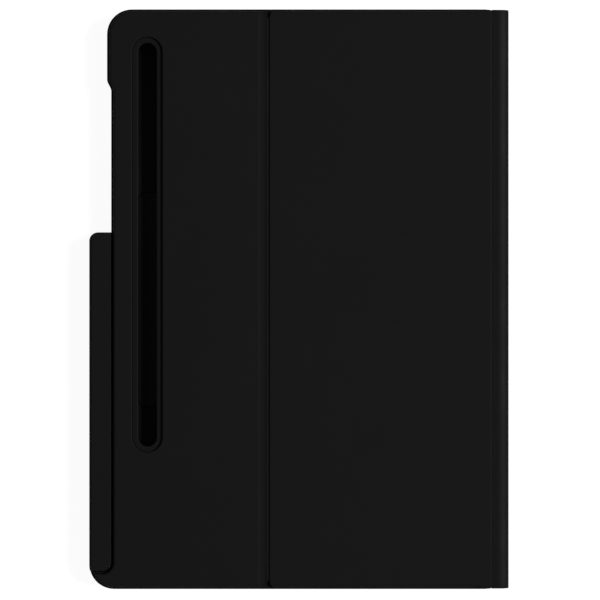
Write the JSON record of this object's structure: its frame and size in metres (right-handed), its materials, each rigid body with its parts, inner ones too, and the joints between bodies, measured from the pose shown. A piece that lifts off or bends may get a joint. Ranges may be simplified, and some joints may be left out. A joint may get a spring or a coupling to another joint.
{
  "type": "tablet keyboard case",
  "caption": "Closed keyboard case for a slim tablet: folding spine, tablet tray with camera slot, stylus holder and a fold-out stand flap over a flat keyboard with touchpad.",
  "frame": {"origin": "on the table, under the middle of the closed case", "axes": "+Z out of the back cover, +Y along the case towards the user's left hand, +X from the user's edge to the spine"},
  "size_m": [0.186, 0.257, 0.0166],
  "materials": {
    "soft_skin": "soft-touch black polyurethane skin with a very fine even grain",
    "shell": "moulded matt black polycarbonate",
    "board": "black stiffening board",
    "microfibre": "dark grey microfibre facing",
    "deck": "matt black keyboard deck",
    "keycap": "matt black key tops with plain light grey legends",
    "touchpad": "smooth satin black touchpad",
    "steel": "plain sheet steel",
    "membrane": "printed film",
    "rubber": "milky silicone rubber",
    "circuit": "green circuit board",
    "copper_film": "amber flexible circuit",
    "battery": "grey foil battery pouch",
    "lead": "red insulated lead",
    "light_pipe": "clear light pipe",
    "magnet": "nickel-plated magnet"
  },
  "bodies": {
    "keyboard_base": {"base_skin": "soft_skin", "base_shell": "shell", "keyboard_deck": "deck", "key_support_plate": "steel", "membrane_circuit": "membrane", "rubber_domes": "rubber", "membrane_tail": "copper_film", "controller_board": "circuit", "battery_pack": "battery", "battery_lead": "lead", "usb_c_socket": "steel", "usb_c_tongue": "shell", "status_lights": "light_pipe", "base_magnets": "magnet", "touchpad_click_switch": "steel", "lower_fold_strip": "soft_skin"},
    "touchpad": {"touchpad_plate": "touchpad", "touchpad_sensor": "circuit"},
    "power_switch": {"power_switch_knob": "shell"},
    "spine": {"spine_skin": "soft_skin", "spine_board": "board", "spine_facing": "microfibre", "upper_fold_strip": "soft_skin"},
    "tray": {"tray_shell": "shell", "tray_lining": "microfibre", "pen_holder": "shell", "slot_ring": "shell", "back_board": "board", "back_skin": "soft_skin", "land_board": "board", "land_skin": "soft_skin", "flap_catches": "steel", "crease_strip": "soft_skin"},
    "stand_flap": {"flap_skin": "soft_skin", "flap_board": "board", "flap_magnets": "magnet", "flap_facing": "microfibre"},
    "function_row_keys": {"function_row_keys": "keycap"},
    "number_row_keys": {"number_row_keys": "keycap"},
    "top_letter_keys": {"top_letter_keys": "keycap"},
    "home_letter_keys": {"home_letter_keys": "keycap"},
    "bottom_letter_keys": {"bottom_letter_keys": "keycap"},
    "backspace_key": {"backspace_key": "keycap"},
    "tab_key": {"tab_key": "keycap"},
    "caps_lock_key": {"caps_lock_key": "keycap"},
    "enter_key": {"enter_key": "keycap"},
    "left_shift_key": {"left_shift_key": "keycap"},
    "right_shift_key": {"right_shift_key": "keycap"},
    "control_key": {"control_key": "keycap"},
    "function_key": {"function_key": "keycap"},
    "command_key": {"command_key": "keycap"},
    "left_alt_key": {"left_alt_key": "keycap"},
    "space_bar": {"space_bar": "keycap"},
    "right_alt_key": {"right_alt_key": "keycap"},
    "language_key": {"language_key": "keycap"},
    "left_arrow_key": {"left_arrow_key": "keycap"},
    "up_arrow_key": {"up_arrow_key": "keycap"},
    "down_arrow_key": {"down_arrow_key": "keycap"},
    "right_arrow_key": {"right_arrow_key": "keycap"}
  },
  "joints": [
    {"name": "lower_fold", "type": "hinge", "parent": "keyboard_base", "child": "spine", "pos_m": [0.09199, 0, 0.00096], "axis": [0, 1, 0], "range_deg": [0, 90], "deforming": ["lower_fold_strip"]},
    {"name": "upper_fold", "type": "hinge", "parent": "spine", "child": "tray", "pos_m": [0.09199, 0, 0.01559], "axis": [0, 1, 0], "range_deg": [0, 90], "deforming": ["upper_fold_strip"]},
    {"name": "stand_fold", "type": "hinge", "parent": "tray", "child": "stand_flap", "pos_m": [-0.01355, 0, 0.016], "axis": [0, -1, 0], "range_deg": [0, 60], "deforming": ["crease_strip"]},
    {"name": "touchpad_click", "type": "slide", "parent": "keyboard_base", "child": "touchpad", "axis": [0, 0, -1], "range_m": [0, 0.0003], "stiffness_N_per_m": 2000, "springref_m": -0.0005},
    {"name": "power_switch_slide", "type": "slide", "parent": "keyboard_base", "child": "power_switch", "axis": [1, 0, 0], "range_m": [0, 0.002]},
    {"name": "function_row_keys_press", "type": "slide", "parent": "keyboard_base", "child": "function_row_keys", "axis": [0, 0, -1], "range_m": [0, 0.0013], "stiffness_N_per_m": 350, "springref_m": -0.0006},
    {"name": "number_row_keys_press", "type": "slide", "parent": "keyboard_base", "child": "number_row_keys", "axis": [0, 0, -1], "range_m": [0, 0.0013], "stiffness_N_per_m": 350, "springref_m": -0.0006},
    {"name": "top_letter_keys_press", "type": "slide", "parent": "keyboard_base", "child": "top_letter_keys", "axis": [0, 0, -1], "range_m": [0, 0.0013], "stiffness_N_per_m": 350, "springref_m": -0.0006},
    {"name": "home_letter_keys_press", "type": "slide", "parent": "keyboard_base", "child": "home_letter_keys", "axis": [0, 0, -1], "range_m": [0, 0.0013], "stiffness_N_per_m": 350, "springref_m": -0.0006},
    {"name": "bottom_letter_keys_press", "type": "slide", "parent": "keyboard_base", "child": "bottom_letter_keys", "axis": [0, 0, -1], "range_m": [0, 0.0013], "stiffness_N_per_m": 350, "springref_m": -0.0006},
    {"name": "backspace_key_press", "type": "slide", "parent": "keyboard_base", "child": "backspace_key", "axis": [0, 0, -1], "range_m": [0, 0.0013], "stiffness_N_per_m": 350, "springref_m": -0.0006},
    {"name": "tab_key_press", "type": "slide", "parent": "keyboard_base", "child": "tab_key", "axis": [0, 0, -1], "range_m": [0, 0.0013], "stiffness_N_per_m": 350, "springref_m": -0.0006},
    {"name": "caps_lock_key_press", "type": "slide", "parent": "keyboard_base", "child": "caps_lock_key", "axis": [0, 0, -1], "range_m": [0, 0.0013], "stiffness_N_per_m": 350, "springref_m": -0.0006},
    {"name": "enter_key_press", "type": "slide", "parent": "keyboard_base", "child": "enter_key", "axis": [0, 0, -1], "range_m": [0, 0.0013], "stiffness_N_per_m": 350, "springref_m": -0.0006},
    {"name": "left_shift_key_press", "type": "slide", "parent": "keyboard_base", "child": "left_shift_key", "axis": [0, 0, -1], "range_m": [0, 0.0013], "stiffness_N_per_m": 350, "springref_m": -0.0006},
    {"name": "right_shift_key_press", "type": "slide", "parent": "keyboard_base", "child": "right_shift_key", "axis": [0, 0, -1], "range_m": [0, 0.0013], "stiffness_N_per_m": 350, "springref_m": -0.0006},
    {"name": "control_key_press", "type": "slide", "parent": "keyboard_base", "child": "control_key", "axis": [0, 0, -1], "range_m": [0, 0.0013], "stiffness_N_per_m": 350, "springref_m": -0.0006},
    {"name": "function_key_press", "type": "slide", "parent": "keyboard_base", "child": "function_key", "axis": [0, 0, -1], "range_m": [0, 0.0013], "stiffness_N_per_m": 350, "springref_m": -0.0006},
    {"name": "command_key_press", "type": "slide", "parent": "keyboard_base", "child": "command_key", "axis": [0, 0, -1], "range_m": [0, 0.0013], "stiffness_N_per_m": 350, "springref_m": -0.0006},
    {"name": "left_alt_key_press", "type": "slide", "parent": "keyboard_base", "child": "left_alt_key", "axis": [0, 0, -1], "range_m": [0, 0.0013], "stiffness_N_per_m": 350, "springref_m": -0.0006},
    {"name": "space_bar_press", "type": "slide", "parent": "keyboard_base", "child": "space_bar", "axis": [0, 0, -1], "range_m": [0, 0.0013], "stiffness_N_per_m": 350, "springref_m": -0.0006},
    {"name": "right_alt_key_press", "type": "slide", "parent": "keyboard_base", "child": "right_alt_key", "axis": [0, 0, -1], "range_m": [0, 0.0013], "stiffness_N_per_m": 350, "springref_m": -0.0006},
    {"name": "language_key_press", "type": "slide", "parent": "keyboard_base", "child": "language_key", "axis": [0, 0, -1], "range_m": [0, 0.0013], "stiffness_N_per_m": 350, "springref_m": -0.0006},
    {"name": "left_arrow_key_press", "type": "slide", "parent": "keyboard_base", "child": "left_arrow_key", "axis": [0, 0, -1], "range_m": [0, 0.0013], "stiffness_N_per_m": 350, "springref_m": -0.0006},
    {"name": "up_arrow_key_press", "type": "slide", "parent": "keyboard_base", "child": "up_arrow_key", "axis": [0, 0, -1], "range_m": [0, 0.0013], "stiffness_N_per_m": 350, "springref_m": -0.0006},
    {"name": "down_arrow_key_press", "type": "slide", "parent": "keyboard_base", "child": "down_arrow_key", "axis": [0, 0, -1], "range_m": [0, 0.0013], "stiffness_N_per_m": 350, "springref_m": -0.0006},
    {"name": "right_arrow_key_press", "type": "slide", "parent": "keyboard_base", "child": "right_arrow_key", "axis": [0, 0, -1], "range_m": [0, 0.0013], "stiffness_N_per_m": 350, "springref_m": -0.0006}
  ]
}
